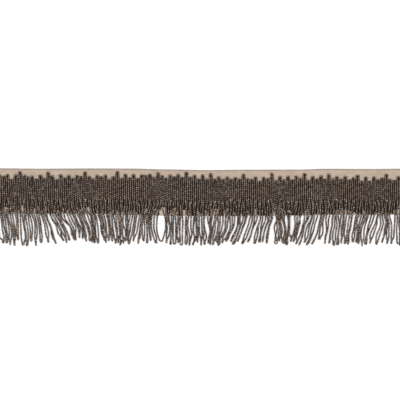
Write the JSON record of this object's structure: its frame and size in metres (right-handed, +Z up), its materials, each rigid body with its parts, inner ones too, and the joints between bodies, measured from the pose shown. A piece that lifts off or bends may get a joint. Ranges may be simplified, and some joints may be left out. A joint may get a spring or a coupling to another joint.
{
  "type": "beaded fringe trim",
  "caption": "Cut length of beaded fringe trim: a flat woven ribbon heading with stitched bead rows, a toothed bead edge and loose bead loops hanging past the ribbon.",
  "frame": {"origin": "middle of the trim's outline, on the surface it lies on", "axes": "+X along the trim, +Y across it from the loops towards the ribbon's upper edge, +Z up through the beads"},
  "size_m": [0.305, 0.0604, 0.0042],
  "materials": {
    "ribbon_cloth": "matt woven tan ribbon",
    "beads": "opaque dark bronze-grey seed beads with a metallic lustre",
    "thread": "dull dark beading thread"
  },
  "bodies": {
    "root": {"ribbon": "ribbon_cloth", "bead_rows": "beads", "loop_fringe": "beads"}
  },
  "joints": []
}
